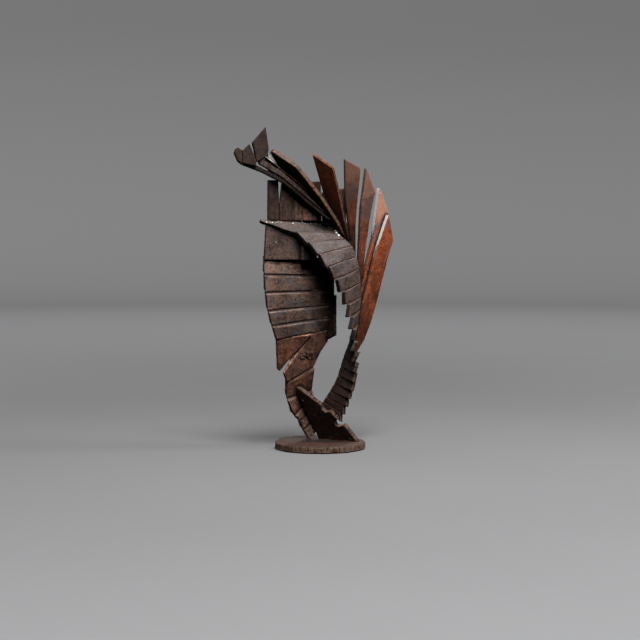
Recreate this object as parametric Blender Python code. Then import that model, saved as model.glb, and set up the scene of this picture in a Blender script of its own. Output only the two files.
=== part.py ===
"""Standing abstract sculpture, welded from flat steel bars on a round flame-cut base.

The frame has +Z up, X across the front and Y from front to back. Its origin is the centre of
the base's underside. Sizes are in millimetres until a mesh is made.

Most points are laid out the way a fabricator would sketch the work: as seen from the front,
on an upright drawing plane through the base's centre, each with its own depth behind that plane.
"""

import math
from collections import namedtuple

import bmesh
import bpy
from mathutils import Matrix, Vector

MM = 0.001
COLLECTION = "abstract_metal_sculpture"

# Stock and fit
BASE_RADIUS = 75.0
BASE_THICK = 11.0
BASE_SIDES = 48
BASE_WAVE = 0.3
BASE_LOBES = ((5, 0.0), (11, 1.0), (17, 2.0))
BAR_THICK = 8.0
FOOT_THICK = 10.0
FIT_GAP = 0.3
WELD = 0.01

# The point from which the drawing plane is seen
EYE = Vector((0.0, -3218.0, 442.0))

# Breastplate of lying bars: its left and right ends, from the top bar's upper edge down
BREAST_LEFT = (
    (-93, 319, -25), (-94, 292, -26), (-92, 262, -26), (-88, 232, -25), (-82, 207, -22), (-73, 181, -17),
)
BREAST_RIGHT = (
    (9, 317, 24), (9, 290, 25), (10, 266, 25), (11, 242, 26), (12, 221, 27), (12, 197, 28),
)
BREAST_SLOPE = math.radians(38)
BREAST_LIFT = 4.5

# Leg of lying bars below the knee plate, twisting until they stand on edge
LEG_LEFT = (
    (-58, 115, 12), (-57, 87, 19), (-46, 58, 24), (-37, 47, 26), (-31, 33, 26), (-17, 11, 25),
)
LEG_RIGHT = (
    (-13, 140, 27), (-15, 101, 36), (-17, 95, 40), (-15, 72, 38), (-11, 52, 35), (-6, 30, 32),
)
LEG_SLOPE = math.radians(42)
LEG_LIFT = 4.0

# Ribbon: its front and back rails, how the bars' widths fall, and how far their ends step
RIBBON_FRONT = (
    (-41, 356, -18), (-17, 337, -28), (0, 315, -32), (25, 279, -29), (43, 244, -22), (53, 205, -18),
    (56, 174, -15), (60, 143, -10), (54, 105, 0), (43, 75, 7), (31.5, 47, 9),
)
RIBBON_BACK = (
    (28, 355, 15), (42, 344, 15), (54, 331, 16), (62.5, 297, 19), (65, 256, 24), (62, 216, 28),
    (53, 180, 30), (42, 152, 31), (30, 115, 31), (14, 88, 34), (3, 72, 38),
)
RIBBON_BARS = 18
RIBBON_FIRST_WIDTH = 26.0
RIBBON_LAST_WIDTH = 12.0
RIBBON_STEP = 6.5
RIBBON_STEP_FROM = 3
RIBBON_STEP_FULL_FROM = 6
RAIL_STEPS = 24
FLATTEN_ROUNDS = 4
TWIST_LEFT = 0.01

Cut = namedtuple("Cut", "left right")
Lean = namedtuple("Lean", "x z y across up")
Plate = namedtuple("Plate", "lean outline")
Steel = namedtuple("Steel", "name colour roughness")

# Plain stand-in finishes, deepest rust first
METALLIC = 0.35
DARK = Steel("dark_rusted_steel", (0.055, 0.030, 0.022), 0.62)
BROWN = Steel("brown_rusted_steel", (0.105, 0.050, 0.033), 0.58)
RED = Steel("red_rusted_steel", (0.190, 0.075, 0.038), 0.52)

# Flat plates: the plane that each leans in, given by one of its points (x, z, y) and by how
# far it runs back across and up, and its outline on the drawing plane
CHEST = {
    "chest_plate": Plate(Lean(-87, 345, -25, 0.38, 0.0), (
        (-89, 377), (-6, 364), (-6, 313.5), (-93, 313.5),
    )),
    "tab_plate": Plate(Lean(-21, 325, -8.9, 0.38, 0.0), (
        (-30.5, 337), (-12, 337), (-12, 320), (-16, 313), (-30.5, 312.5),
    )),
}
PANEL = {
    "panel_bar_1": Plate(Lean(-87, 400, -25, 0.42, 0.0), (
        (-86, 445), (-70, 445), (-68.3, 400), (-68.3, 378), (-86.5, 378),
    )),
    "panel_bar_2": Plate(Lean(-67, 400, -17, 0.40, 0.0), (
        (-62.8, 446), (-44, 446), (-44, 378), (-67.7, 378), (-67.7, 398),
    )),
    "panel_bar_3": Plate(Lean(-43, 400, -7, 0.36, 0.0), (
        (-43.4, 446), (-29.5, 445), (-29.5, 378), (-43.4, 378), (-43.4, 414.5), (-41, 415),
        (-40.5, 417), (-41, 419), (-43.4, 419.5),
    )),
    "panel_bar_4": Plate(Lean(-29, 400, -3, 0.34, 0.0), (
        (-30, 444), (-6, 442), (-6, 378), (-30, 378),
    )),
    "panel_bar_5": Plate(Lean(-20, 400, 1.5, 0.34, 0.0), (
        (-20, 443), (0.3, 443), (1.6, 378), (-20, 378),
    )),
    "panel_bar_6": Plate(Lean(3, 400, 15, 0.32, 0.0), (
        (3, 425), (26, 425), (27, 346), (4, 346),
    )),
    "panel_bar_7": Plate(Lean(28, 400, 24, 0.28, 0.0), (
        (28, 431), (41.5, 431), (43, 340), (28, 340),
    )),
}
SHELF = {
    "shelf_plate": Plate(Lean(-96, 378, -29, 0.489, 0.722), (
        (-99.5, 379.5), (-99, 376), (-94, 373.5), (-80, 369.4), (-62, 362.3), (-41, 356), (28, 355),
        (22, 366), (8, 374.5), (-6, 377.5), (-90, 377.5),
    )),
}
WAIST = {
    "knee_plate": Plate(Lean(-16, 189, 13, 0.54, -0.25), (
        (-61, 126), (-53, 139), (-15, 191.5), (10, 198), (12, 180), (0, 162), (-12, 137), (-28, 128),
        (-56, 111),
    )),
    "spur_plate": Plate(Lean(-73, 181, -15, 0.50, -0.55), (
        (-73, 183.5), (-14, 192), (-34, 168), (-58, 143), (-67, 131), (-71, 131),
    )),
    "side_plate_upper": Plate(Lean(10, 290, 26, -0.60, 0.0), (
        (3, 316), (22, 316), (22, 255), (3, 255),
    )),
    "side_plate_lower": Plate(Lean(13, 220, 27, -0.60, 0.0), (
        (6, 254.6), (26, 254.6), (26, 188), (13, 181), (6, 183),
    )),
}
FOOT = {
    "foot_plate": Plate(Lean(0, 17, 29, -0.53, -0.36), (
        (-37, 104), (3, 74), (5, 66), (11, 61), (18, 63), (31, 50), (26, 45), (28, 39), (34, 37.5),
        (42, 40), (65, 10), (3, 10), (-5, 28), (-8, 34), (-10, 34), (-14, 48), (-18, 50),
        (-20, 63), (-24, 66), (-27, 79), (-33, 84), (-38, 94),
    )),
}
FAN = {
    "fan_blade_6": Plate(Lean(60, 190, 30, 0.95, -0.22), (
        (111.5, 389), (119, 346), (113, 327), (101, 280), (93, 249), (83, 212), (71, 181), (56, 156),
        (59, 196), (67, 238), (77, 276.5), (90.5, 327.5), (96, 343.5),
    )),
    "fan_blade_5": Plate(Lean(64, 240, 27, 0.90, -0.15), (
        (95.6, 432), (100.5, 423), (111, 390.5), (107, 375), (94, 325), (84, 285), (74, 250), (66, 237),
        (63, 252), (71, 290), (85.5, 349),
    )),
    "fan_blade_4": Plate(Lean(60, 290, 22, 0.58, -0.10), (
        (74.4, 466), (89.5, 426), (82, 389), (76, 348), (72, 312), (66, 262), (61, 270), (62, 318),
        (66, 398), (72, 447),
    )),
    "fan_blade_3": Plate(Lean(57, 330, 20, 0.37, -0.10), (
        (40, 480), (64, 467), (66, 461), (61, 414), (58, 373), (58, 322), (52, 335), (46, 372), (41, 414),
    )),
    "fan_blade_1": Plate(Lean(45, 350, 18, -0.717, -0.97), (
        (-81, 493), (-76, 494), (-38, 468), (-24, 451), (2, 418), (28, 379), (48, 345), (38, 345),
        (-3, 402), (-37, 434), (-61, 459),
    )),
    "fan_blade_2": Plate(Lean(47, 345, 20, -0.35, -0.42), (
        (-12, 489), (22, 466), (30, 432), (40, 385), (53, 335), (44, 345), (28, 381), (6, 426),
    )),
}
HAND = {
    "hand_bar_lower": Plate(Lean(-13, 417, -10, 0.33, 0.0), (
        (-129, 476), (-108, 471), (-61, 447), (17, 380), (10, 380), (-61, 439), (-96, 457), (-127, 469),
    )),
    "hand_bar_upper": Plate(Lean(-13, 417, -12, 0.33, 0.0), (
        (-105, 480), (-94, 480), (-61, 457), (-35, 436), (12, 386), (-61, 447.6), (-100, 470),
    )),
    "hand_tip_left": Plate(Lean(-129, 480, -52, 0.33, 0.3), (
        (-142, 490), (-140, 496), (-136, 498), (-128.6, 493), (-128.6, 472), (-127, 469), (-136, 476),
    )),
    "hand_tip_middle": Plate(Lean(-129, 480, -52, 0.33, 0.3), (
        (-117, 504), (-107, 480), (-106, 467), (-128.3, 472), (-128.3, 493),
    )),
    "hand_tip_right": Plate(Lean(-129, 480, -52, 0.33, 0.3), (
        (-90, 532), (-85, 495), (-88, 482), (-105.7, 474), (-106.5, 481), (-112, 507),
    )),
    "hand_blade": Plate(Lean(-35, 439, -18, 1.1, 0.9), (
        (-93, 482), (-88, 487), (-84, 482.5), (-66, 461.5), (-36, 440.5), (-6, 412), (-35, 436),
    )),
}


def at(x, z, y):
    """The point at depth y that is seen at (x, z) on the drawing plane."""
    on_plane = Vector((x, 0.0, z))
    return EYE + (on_plane - EYE) * ((y - EYE.y) / -EYE.y)


def clear_scene():
    for thing in list(bpy.data.objects):
        bpy.data.objects.remove(thing, do_unlink=True)


def steel_material(finish):
    material = bpy.data.materials.new(finish.name)
    material.use_nodes = True
    shader = material.node_tree.nodes["Principled BSDF"]
    shader.inputs["Base Color"].default_value = (*finish.colour, 1.0)
    shader.inputs["Roughness"].default_value = finish.roughness
    shader.inputs["Metallic"].default_value = METALLIC
    return material


def mesh_object(name, mesh, material, collection):
    mesh.materials.clear()
    mesh.materials.append(material)
    thing = bpy.data.objects.new(name, mesh)
    collection.objects.link(thing)
    return thing


def hull_object(name, points, material, collection):
    """One closed convex body around a few points in millimetres."""
    bm = bmesh.new()
    for point in points:
        bm.verts.new(point * MM)
    made = bmesh.ops.convex_hull(bm, input=bm.verts)
    spare = set(made["geom_interior"] + made["geom_unused"])
    bmesh.ops.delete(bm, geom=[vert for vert in bm.verts if vert in spare], context="VERTS")
    bmesh.ops.recalc_face_normals(bm, faces=bm.faces)
    mesh = bpy.data.meshes.new(name)
    bm.to_mesh(mesh)
    bm.free()
    return mesh_object(name, mesh, material, collection)


def flat_plate(name, outline, thick, material, collection):
    """A plate of even thickness: its outline is a list of points near one plane, in millimetres."""
    centre = sum(outline, Vector()) / len(outline)
    normal = Vector()
    for first, second in zip(outline, outline[1:] + outline[:1]):
        normal += (first - centre).cross(second - centre)
    normal.normalize()
    if normal.y > 0:
        normal = -normal
    across = outline[1] - outline[0]
    across = (across - normal * across.dot(normal)).normalized()
    up = normal.cross(across)
    curve = bpy.data.curves.new(name, "CURVE")
    curve.dimensions = "2D"
    curve.fill_mode = "BOTH"
    curve.extrude = thick / 2 * MM
    spline = curve.splines.new("POLY")
    spline.points.add(len(outline) - 1)
    for spot, point in zip(spline.points, outline):
        offset = point - centre
        spot.co = (offset.dot(across) * MM, offset.dot(up) * MM, 0.0, 1.0)
    spline.use_cyclic_u = True
    guide = bpy.data.objects.new(name + "_outline", curve)
    turn = Matrix((across, up, normal)).transposed().to_4x4()
    guide.matrix_world = Matrix.Translation(centre * MM) @ turn
    collection.objects.link(guide)
    bpy.context.view_layer.update()
    seen = guide.evaluated_get(bpy.context.evaluated_depsgraph_get())
    mesh = bpy.data.meshes.new_from_object(seen)
    mesh.name = name
    bm = bmesh.new()
    bm.from_mesh(mesh)
    bmesh.ops.remove_doubles(bm, verts=bm.verts, dist=WELD * MM)
    bmesh.ops.transform(bm, matrix=guide.matrix_world, verts=bm.verts)
    bmesh.ops.recalc_face_normals(bm, faces=bm.faces)
    bm.to_mesh(mesh)
    bm.free()
    bpy.data.objects.remove(guide)
    return mesh_object(name, mesh, material, collection)


def leaning_plate(name, drawn, lean, thick, material, collection):
    outline = [at(x, z, lean.y + lean.across * (x - lean.x) + lean.up * (z - lean.z)) for x, z in drawn]
    return flat_plate(name, outline, thick, material, collection)


def grown_copy(piece):
    """The piece a fit gap larger all round, as a cutter."""
    bm = bmesh.new()
    bm.from_mesh(piece.data)
    bmesh.ops.triangulate(bm, faces=bm.faces)
    moves = [vert.normal * vert.calc_shell_factor() * FIT_GAP * MM for vert in bm.verts]
    for vert, move in zip(bm.verts, moves):
        vert.co += move
    mesh = bpy.data.meshes.new(piece.name + "_cutter")
    bm.to_mesh(mesh)
    bm.free()
    cutter = bpy.data.objects.new(piece.name + "_cutter", mesh)
    cutter.hide_render = True
    cutter.display_type = "WIRE"
    bpy.context.scene.collection.objects.link(cutter)
    return cutter


def largest_body(mesh):
    """Drops the off-cuts that a cut leaves loose."""
    bm = bmesh.new()
    bm.from_mesh(mesh)
    bmesh.ops.remove_doubles(bm, verts=bm.verts, dist=WELD * MM)
    left = set(bm.verts)
    bodies = []
    while left:
        body = set()
        edge_of_search = [left.pop()]
        while edge_of_search:
            vert = edge_of_search.pop()
            body.add(vert)
            for edge in vert.link_edges:
                other = edge.other_vert(vert)
                if other in left:
                    left.discard(other)
                    edge_of_search.append(other)
        bodies.append(body)
    bodies.sort(key=lambda body: max((a.co - b.co).length for a in body for b in body))
    for body in bodies[:-1]:
        bmesh.ops.delete(bm, geom=list(body), context="VERTS")
    bm.to_mesh(mesh)
    bm.free()


def cope(piece, others):
    """Cuts a piece back to clear the ones that it meets, as a fitter copes a joint."""
    for other in others:
        cutter = grown_copy(other)
        cut = piece.modifiers.new("cope", "BOOLEAN")
        cut.operation = "DIFFERENCE"
        cut.object = cutter
        cut.use_self = True
        bpy.context.view_layer.update()
        seen = piece.evaluated_get(bpy.context.evaluated_depsgraph_get())
        mesh = bpy.data.meshes.new_from_object(seen)
        piece.modifiers.clear()
        piece.data = mesh
        bpy.data.objects.remove(cutter)
    largest_body(piece.data)


def smooth_rail(stations):
    """A smooth curve through the stations, as closely spaced points with equal counts a span."""
    points = [at(*station) for station in stations]
    ends = [2 * points[0] - points[1], *points, 2 * points[-1] - points[-2]]
    rail = []
    for before, start, end, after in zip(ends, ends[1:], ends[2:], ends[3:]):
        for step in range(RAIL_STEPS):
            t = step / RAIL_STEPS
            rail.append(0.5 * (
                2 * start
                + (end - before) * t
                + (2 * before - 5 * start + 4 * end - after) * t ** 2
                + (3 * start - before - 3 * end + after) * t ** 3
            ))
    rail.append(points[-1])
    return rail


def ribbon_cuts():
    """Cross cuts of the ribbon, at widths that fall evenly along its front rail."""
    front = smooth_rail(RIBBON_FRONT)
    back = smooth_rail(RIBBON_BACK)
    length = sum((b - a).length for a, b in zip(front, front[1:]))
    narrowing = (RIBBON_FIRST_WIDTH - RIBBON_LAST_WIDTH) / (RIBBON_BARS - 1)
    widths = [RIBBON_FIRST_WIDTH - narrowing * i for i in range(RIBBON_BARS)]
    fit = length / sum(widths)
    goals = [sum(widths[:i]) * fit for i in range(RIBBON_BARS + 1)]
    cuts = []
    walked = 0.0
    for index, (a, b) in enumerate(zip(front, front[1:])):
        step = (b - a).length
        while len(cuts) <= RIBBON_BARS and goals[len(cuts)] <= walked + step + WELD:
            t = min((goals[len(cuts)] - walked) / step, 1.0)
            cuts.append(Cut(a.lerp(b, t), back[index].lerp(back[index + 1], t)))
        walked += step
    return cuts


def face_normal(upper, lower):
    """The front normal of the bar between two cuts."""
    across = upper.right - upper.left + lower.right - lower.left
    down = lower.left - upper.left + lower.right - upper.right
    return down.cross(across).normalized()


def twist(upper, lower, throughs, lift):
    """How far a bar's four front corners are from one plane, once its left end is turned."""
    first = upper.left + throughs[0] * lift
    edges = (
        upper.right - first,
        lower.left - throughs[1] * lift - first,
        lower.right - first,
    )
    return edges[0].cross(edges[1]).dot(edges[2])


def flat_lift(upper, lower, throughs):
    """The lift that makes a bar's face flat, found with the secant rule."""
    before, lift = 0.0, 1.0
    for _ in range(FLATTEN_ROUNDS):
        old, new = twist(upper, lower, throughs, before), twist(upper, lower, throughs, lift)
        if abs(new - old) < TWIST_LEFT:
            break
        before, lift = lift, lift - new * (lift - before) / (new - old)
    return lift


def bar_corners(upper, lower, throughs, lifts, flatten=0.0):
    """The eight corners of a bar between two cuts. A through vector lies in its cut, back to front."""
    normal = face_normal(upper, lower)
    middle = (upper.left + upper.right + lower.left + lower.right) / 4
    points = []
    for cut, through, lift, lean in zip((upper, lower), throughs, lifts, (flatten, -flatten)):
        reach = BAR_THICK / 2 / abs(through.dot(normal))
        inward = (cut.right - cut.left).cross(through).normalized()
        if inward.dot(middle - cut.left) < 0:
            inward = -inward
        for end, rise in ((cut.left, lean), (cut.right, 0.0)):
            for side in (-reach, reach):
                points.append(end + through * (side + lift + rise) + inward * FIT_GAP / 2)
    return points


def bar_strip(prefix, cuts, slope, lift, material, collection, stepped=False, first_proud=False):
    """Bars laid side by side. Each cut slopes down to the front, and each bar's top stands proud."""
    normals = [face_normal(a, b) for a, b in zip(cuts, cuts[1:])]
    throughs = []
    for index, cut in enumerate(cuts):
        near = normals[max(index - 1, 0)] + normals[min(index, len(normals) - 1)]
        along = (cut.right - cut.left).normalized()
        normal = (near - along * near.dot(along)).normalized()
        up = along.cross(-normal)
        if up.z < 0:
            up = -up
        sloped = first_proud if index == 0 else index < len(cuts) - 1
        tilt = slope if sloped else 0.0
        throughs.append(normal * math.cos(tilt) - up * math.sin(tilt))
    bars = []
    for index, (upper, lower) in enumerate(zip(cuts, cuts[1:])):
        flatten = 0.0
        if stepped:
            growing = (index - RIBBON_STEP_FROM) / (RIBBON_STEP_FULL_FROM - RIBBON_STEP_FROM)
            lower = upright_ends(upper, lower, RIBBON_STEP * min(max(growing, 0.0), 1.0))
            flatten = flat_lift(upper, lower, throughs[index:index + 2])
        lifts = (lift if index or first_proud else 0.0, 0.0)
        corners = bar_corners(upper, lower, throughs[index:index + 2], lifts, flatten)
        bars.append(hull_object(f"{prefix}_{index + 1:02d}", corners, material, collection))
    return bars


def upright_ends(upper, lower, allowed):
    """Draws a bar's lower corners out below its upper ones, where the rails would cut them back."""
    out = (lower.left - lower.right).normalized()
    short_left = min(max((lower.left.x - upper.left.x) / -out.x, 0.0), allowed)
    short_right = min(max((upper.right.x - lower.right.x) / -out.x, 0.0), allowed)
    return Cut(lower.left + out * short_left, lower.right - out * short_right)


def base_disc(material, collection):
    """The round base plate, its rim left wavy by the cutting torch."""
    bpy.ops.mesh.primitive_cylinder_add(
        vertices=BASE_SIDES,
        radius=BASE_RADIUS * MM,
        depth=BASE_THICK * MM,
        location=(0, 0, BASE_THICK / 2 * MM),
    )
    disc = bpy.context.active_object
    disc.name = "base_disc"
    disc.data.transform(disc.matrix_world)
    disc.matrix_world = Matrix.Identity(4)
    for vert in disc.data.vertices:
        angle = math.atan2(vert.co.y, vert.co.x)
        wave = sum(BASE_WAVE * math.sin(lobes * angle + turn) for lobes, turn in BASE_LOBES)
        vert.co.x *= 1 + wave / BASE_RADIUS
        vert.co.y *= 1 + wave / BASE_RADIUS
    disc.data.materials.append(material)
    for holder in list(disc.users_collection):
        holder.objects.unlink(disc)
    collection.objects.link(disc)
    return disc


def boxes_meet(first, second):
    """Whether two pieces' boxes come within a fit gap of each other."""
    spans = []
    for piece in (first, second):
        points = [piece.matrix_world @ vert.co for vert in piece.data.vertices]
        spans.append([(min(p[k] for p in points), max(p[k] for p in points)) for k in range(3)])
    reach = FIT_GAP * MM
    return all(a[0] - reach < b[1] and b[0] - reach < a[1] for a, b in zip(*spans))


def main():
    clear_scene()
    collection = bpy.data.collections.new(COLLECTION)
    bpy.context.scene.collection.children.link(collection)
    dark = steel_material(DARK)
    brown = steel_material(BROWN)
    red = steel_material(RED)

    placed = [base_disc(brown, collection)]
    breast = [Cut(at(*left), at(*right)) for left, right in zip(BREAST_LEFT, BREAST_RIGHT)]
    placed += bar_strip("breast_bar", breast, BREAST_SLOPE, BREAST_LIFT, brown, collection)
    placed += bar_strip("ribbon_bar", ribbon_cuts(), 0.0, 0.0, brown, collection, stepped=True)
    leg = [Cut(at(*left), at(*right)) for left, right in zip(LEG_LEFT, LEG_RIGHT)]
    leg_bars = bar_strip("leg_bar", leg, LEG_SLOPE, LEG_LIFT, brown, collection, first_proud=True)
    for bar in leg_bars:
        cope(bar, [other for other in placed if boxes_meet(bar, other)])
    placed += leg_bars
    for group, thick, material in (
        (PANEL, BAR_THICK, dark), (SHELF, BAR_THICK, brown), (CHEST, BAR_THICK, brown),
        (WAIST, BAR_THICK, brown), (FOOT, FOOT_THICK, dark), (FAN, BAR_THICK, red), (HAND, BAR_THICK, dark),
    ):
        for name, drawn in group.items():
            piece = leaning_plate(name, drawn.outline, drawn.lean, thick, material, collection)
            cope(piece, [other for other in placed if boxes_meet(piece, other)])
            placed.append(piece)


main()
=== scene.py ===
# %% [markdown]
# # A welded sculpture of rusted steel bars
# The sculpture is about half a metre tall. It is made of short lengths of flat steel bar, laid
# side by side and welded, and then left to rust. The solids of every bar already exist, as plain
# sharp-cornered shapes. This lesson gives them the skin of old steel: worn corners, pits, torch
# cuts, weld beads and a patina that changes from bar to bar.
#
# The plain shapes could be painted as they are, but a real bar is never that flat or that sharp.
# So each one is first rebuilt with a fine, even grid of points that can be moved and measured.

# %% Load the plain solids
import math
import random

import bmesh
import bpy
import numpy as np
from mathutils import Matrix, Vector, noise
from mathutils.bvhtree import BVHTree
from mathutils.kdtree import KDTree


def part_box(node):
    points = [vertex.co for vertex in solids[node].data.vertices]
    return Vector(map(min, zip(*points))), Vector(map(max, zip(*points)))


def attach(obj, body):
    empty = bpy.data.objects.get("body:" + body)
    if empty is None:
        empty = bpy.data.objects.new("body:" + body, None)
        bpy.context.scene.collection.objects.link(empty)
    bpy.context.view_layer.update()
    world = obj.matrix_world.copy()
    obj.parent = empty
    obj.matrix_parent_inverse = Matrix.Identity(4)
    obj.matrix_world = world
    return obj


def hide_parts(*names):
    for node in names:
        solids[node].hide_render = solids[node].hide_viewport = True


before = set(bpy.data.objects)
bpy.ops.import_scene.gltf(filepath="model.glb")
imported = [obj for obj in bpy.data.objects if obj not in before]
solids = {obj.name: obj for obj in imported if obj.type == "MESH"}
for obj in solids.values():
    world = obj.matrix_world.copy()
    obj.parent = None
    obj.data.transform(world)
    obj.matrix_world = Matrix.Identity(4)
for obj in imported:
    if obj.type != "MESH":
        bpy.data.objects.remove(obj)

MM = 0.001
scene = bpy.context.scene
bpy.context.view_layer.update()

# %% [markdown]
# ## The camera
# The photograph was taken from some way back, a little above the middle of the figure, with a
# long lens. A camera could be placed by eye, but then its view of the figure would be a guess.
# Here it stands where the base's ellipse and the upright edges say that the real one stood.

# %% Place the camera
EYE = Vector((0.0, -3.218, 0.442))
DOWN_TILT = math.radians(4.06)
LENS = 109.46
SENSOR = 36.0
camera = bpy.data.objects.new("front_camera", bpy.data.cameras.new("front_camera"))
camera.data.lens = LENS
camera.data.sensor_width = SENSOR
camera.location = EYE
camera.rotation_euler = (math.pi / 2 - DOWN_TILT, 0.0, 0.0)
scene.collection.objects.link(camera)
scene.camera = camera
scene.view_settings.view_transform = "Standard"
print(f"camera {EYE.length:.2f} m away, {LENS:.0f} mm lens")

# %% [markdown]
# ## The studio floor
# A sculpture is usually photographed on a sweep: a floor that curves up behind it, so that no
# line crosses the picture. A bent sheet would do from the front. This one is a turned bowl,
# because then the background is just as plain from the sides, the back and above.

# %% Turn the floor and its rising rim
FLOOR_RADIUS = 3.9
RIM_BEND = 1.1
RIM_HEIGHT = 4.2
BEND_STEPS = 12
TURN_STEPS = 96
profile = [(0.0, 0.0), (FLOOR_RADIUS / 2, 0.0)]
for step in range(BEND_STEPS + 1):
    turn = math.pi / 2 * step / BEND_STEPS
    profile.append((FLOOR_RADIUS + RIM_BEND * math.sin(turn), RIM_BEND * (1 - math.cos(turn))))
profile.append((FLOOR_RADIUS + RIM_BEND, RIM_HEIGHT))
profile_edges = [(corner, corner + 1) for corner in range(len(profile) - 1)]
sweep_profile = bpy.data.meshes.new("studio_floor")
sweep_profile.from_pydata([(reach, 0.0, height) for reach, height in profile], profile_edges, [])
studio_floor = bpy.data.objects.new("studio_floor", sweep_profile)
scene.collection.objects.link(studio_floor)
lathe = studio_floor.modifiers.new("turn the profile", "SCREW")
lathe.steps = TURN_STEPS
lathe.render_steps = TURN_STEPS
lathe.use_merge_vertices = True
lathe.merge_threshold = 0.0001
lathe.use_smooth_shade = True
print(f"floor {2 * FLOOR_RADIUS:.1f} m across")

# %% [markdown]
# ## The light
# The bars of the breast are lit on the left and fall into black on the right, where the ribbon
# stands in the way, and every upper edge is bright. Light from the front would flatten that. So
# the main panel hangs high, a little to the front and right. A second one in front gives the
# faces of the bars their colour, and a third stands lower on the right for the fan and the steps
# of the ribbon. A weak strip and a panel behind the figure show its welded back.
#
# The sweep has its own broad panel under the ceiling, linked to the sweep alone, and the panel
# behind leaves the sweep out. The sweep itself lights nothing and is mirrored in nothing, much as
# a studio hangs black cloth round the figure. Otherwise the pale floor would fill the shadows
# from all sides and lay a grey veil over the rust.

# %% Hang the light panels
AIM = Vector((0.0, 0.0, 0.28))
# Turned from the front and raised, in degrees, then metres away, width and height, and watts.
LIGHT_PANELS = {
    "high_panel": (20, 65, 2.0, (0.55, 0.55), 42.0),
    "front_panel": (4, 50, 2.2, (0.60, 0.60), 22.0),
    "right_panel": (88, 35, 2.0, (0.45, 0.90), 18.0),
    "left_strip": (-125, 15, 1.8, (0.25, 1.20), 2.0),
    "back_panel": (172, 28, 2.2, (0.60, 0.90), 12.0),
}
CEILING = Vector((0.0, 0.0, 4.1))
CEILING_SIZE = (7.0, 7.0)
CEILING_WATTS = 150.0


def hang_panel(name, place, size, watts):
    light = bpy.data.lights.new(name, "AREA")
    light.shape = "RECTANGLE"
    light.size, light.size_y = size
    light.energy = watts
    lamp = bpy.data.objects.new(name, light)
    lamp.location = place
    lamp.rotation_euler = (AIM - place).to_track_quat("-Z", "Y").to_euler()
    scene.collection.objects.link(lamp)
    return lamp


def floor_link(name, lamp):
    """Links the lamp to the floor alone. What it returns can turn that into all but the floor."""
    linked = bpy.data.collections.new(name)
    linked.objects.link(studio_floor)
    lamp.light_linking.receiver_collection = linked
    return linked.collection_objects[0].light_linking


panels = {}
for name, (turn, rise, away, size, watts) in LIGHT_PANELS.items():
    turn = math.radians(turn)
    rise = math.radians(rise)
    toward = Vector((math.cos(rise) * math.sin(turn), -math.cos(rise) * math.cos(turn), math.sin(rise)))
    panels[name] = hang_panel(name, AIM + toward * away, size, watts)
floor_link("lit_by_the_ceiling", hang_panel("ceiling_panel", CEILING, CEILING_SIZE, CEILING_WATTS))
floor_link("lit_from_behind", panels["back_panel"]).link_state = "EXCLUDE"
studio_floor.visible_diffuse = False
studio_floor.visible_glossy = False
print(f"{len(panels) + 1} light panels")

# %% [markdown]
# ## A faint glow all round
# Even a dark studio is not quite black, and some light comes back from the ground. A plain grey
# world would lift every shadow alike. So this one is a little brighter below than above, with a
# soft change between.

# %% Let the world glow
GLOW_BELOW = 0.05
GLOW_ABOVE = 0.02
GLOW_BLEND = (-0.3, 0.2)
world = bpy.data.worlds.new("studio")
world.use_nodes = True
sky = world.node_tree
upward = sky.nodes.new("ShaderNodeSeparateXYZ")
sky.links.new(sky.nodes.new("ShaderNodeTexCoord").outputs["Generated"], upward.inputs[0])
glow = sky.nodes.new("ShaderNodeMapRange")
for socket, value in zip(("From Min", "From Max", "To Min", "To Max"), (*GLOW_BLEND, GLOW_BELOW, GLOW_ABOVE)):
    glow.inputs[socket].default_value = value
sky.links.new(upward.outputs["Z"], glow.inputs["Value"])
sky.links.new(glow.outputs["Result"], sky.nodes["Background"].inputs["Strength"])
scene.world = world
print(f"the world's light is {GLOW_BELOW} from below and {GLOW_ABOVE} from above")

# %% [markdown]
# ## Which bar belongs to which part
# The bars were rusted and waxed together, yet each part of the figure has its own tone. The
# panel, the hand and the foot are dark, the breast and the leg are a mottled brown, the ribbon
# is grey in its upper bars, which face up, and dark in its lower steps, and the fan is red. The
# upper grey is partly a painted sheen from the light above, and the dark of the lower steps is
# partly painted shade, so the ribbon is a lit and a shaded copy of one steel. The bars are
# sorted by their names, so that a part's finish is chosen once and not bar by bar.

# %% Sort the bars into parts
PARTS = {
    "base": ("base_disc",),
    "foot": ("foot_plate",),
    "breast": ("breast_bar", "chest_plate", "tab_plate", "side_plate"),
    "leg": ("leg_bar", "knee_plate", "spur_plate"),
    "panel": ("panel_bar",),
    "ribbon": ("ribbon_bar", "shelf_plate"),
    # The ribbon's lower steps get their own darker finish, partly painted shade.
    "steps": tuple(f"ribbon_bar_{number}" for number in range(11, 19)),
    "fan": ("fan_blade",),
    "hand": ("hand_bar", "hand_blade"),
    "tips": ("hand_tip",),
}
part_of = {name: part for part, starts in PARTS.items() for name in solids if name.startswith(starts)}
for part in PARTS:
    print(f"{part}: {sum(1 for name in part_of if part_of[name] == part)} pieces")

# %% [markdown]
# ## Each bar's own directions
# Steel has a grain: it is rolled lengthwise, and a torch cuts straight through its thickness.
# Marks that ran the same way on every bar would look like paint. So each bar gets its own axes,
# with x along its longest edge, y across it, and z through its thickness. The largest flat face
# and its longest edge are enough to find them.

# %% Measure a bar's corners and axes
JOIN = 0.01 * MM
FLAT = math.radians(1.0)
CORNER = math.radians(25.0)


def whole_faces(name):
    """The solid with its corners joined and its flat faces whole."""
    solid = bmesh.new()
    solid.from_mesh(solids[name].data)
    bmesh.ops.remove_doubles(solid, verts=solid.verts, dist=JOIN)
    bmesh.ops.dissolve_limit(solid, angle_limit=FLAT, verts=solid.verts, edges=solid.edges)
    return solid


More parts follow.
